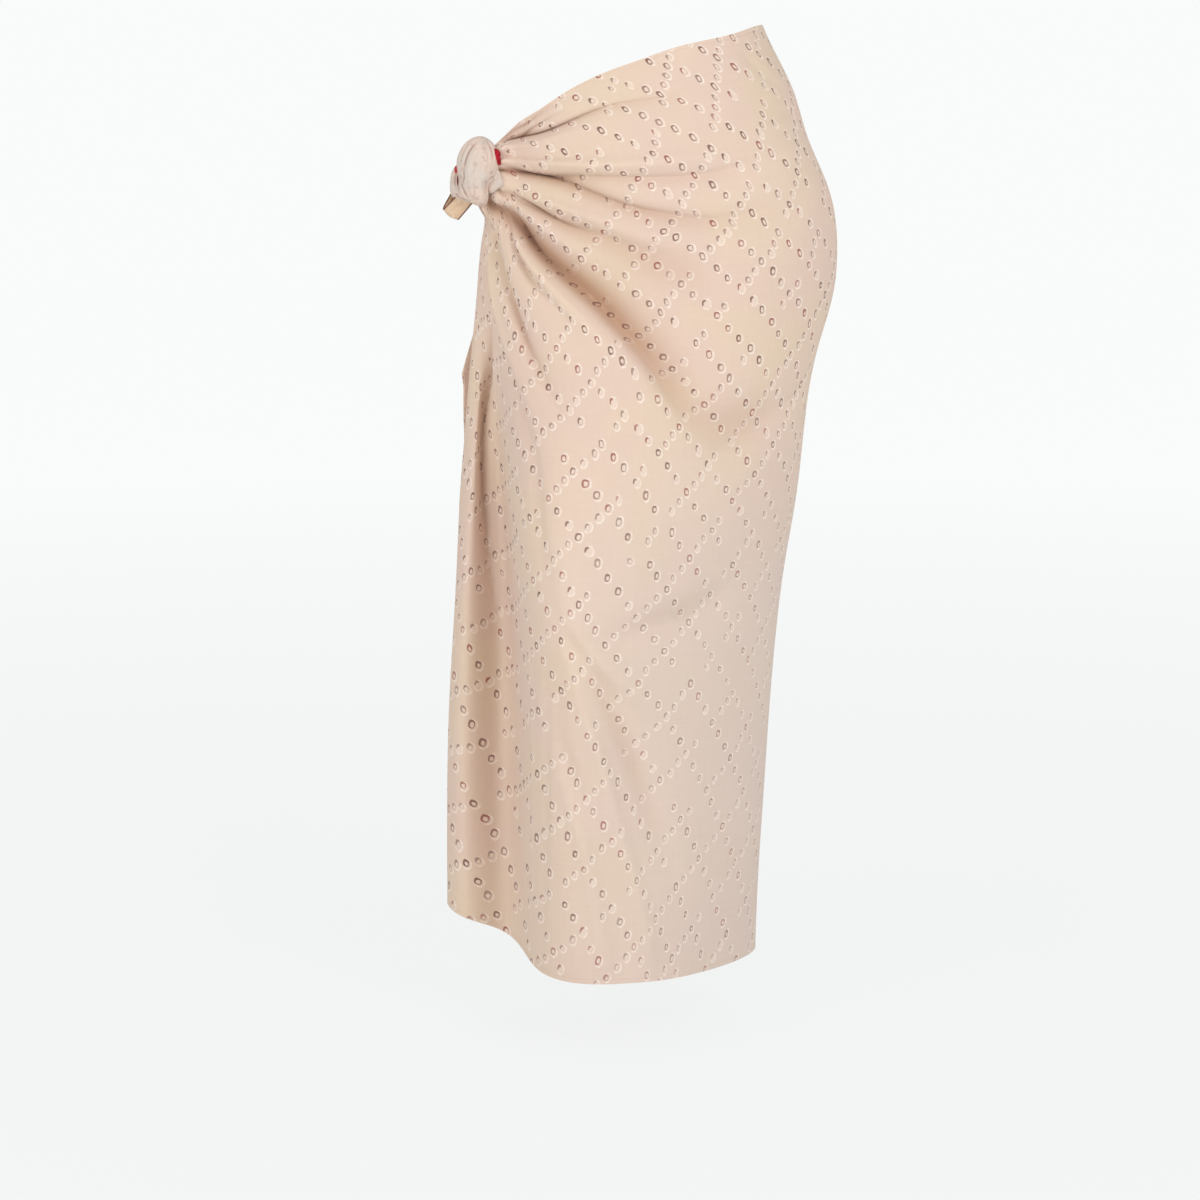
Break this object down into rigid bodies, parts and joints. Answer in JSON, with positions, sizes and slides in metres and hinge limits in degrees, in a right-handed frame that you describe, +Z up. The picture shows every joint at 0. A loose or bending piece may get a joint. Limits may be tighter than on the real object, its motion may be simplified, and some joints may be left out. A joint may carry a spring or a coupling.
{
  "type": "sarong",
  "caption": "Ankle-length wrap of light printed cloth, worn once round the hips and tied by its corners in a knot at one side.",
  "frame": {"origin": "middle of the waist opening, on the tilted plane of the waist edge, where the wearer's hips hold it", "axes": "+Z up along the wrap, +X to the viewer's right as seen from the front, -Y to the front; the knot is at -X"},
  "size_m": [0.407, 0.2946, 0.9683],
  "materials": {
    "printed_cloth": "peach cloth, soft dull sheen, lattice of small ringed dots",
    "knot_cloth": "the same cloth, gathered tight",
    "red_dye": "deep red dyed edge of the cloth, dull",
    "tail_cloth": "sand coloured corner of the cloth, dull"
  },
  "bodies": {
    "root": {"wrap_front": "printed_cloth", "wrap_back": "printed_cloth", "knot_wrap": "knot_cloth", "knot_under": "knot_cloth", "red_fold": "red_dye", "tail_loop": "tail_cloth"}
  },
  "joints": []
}
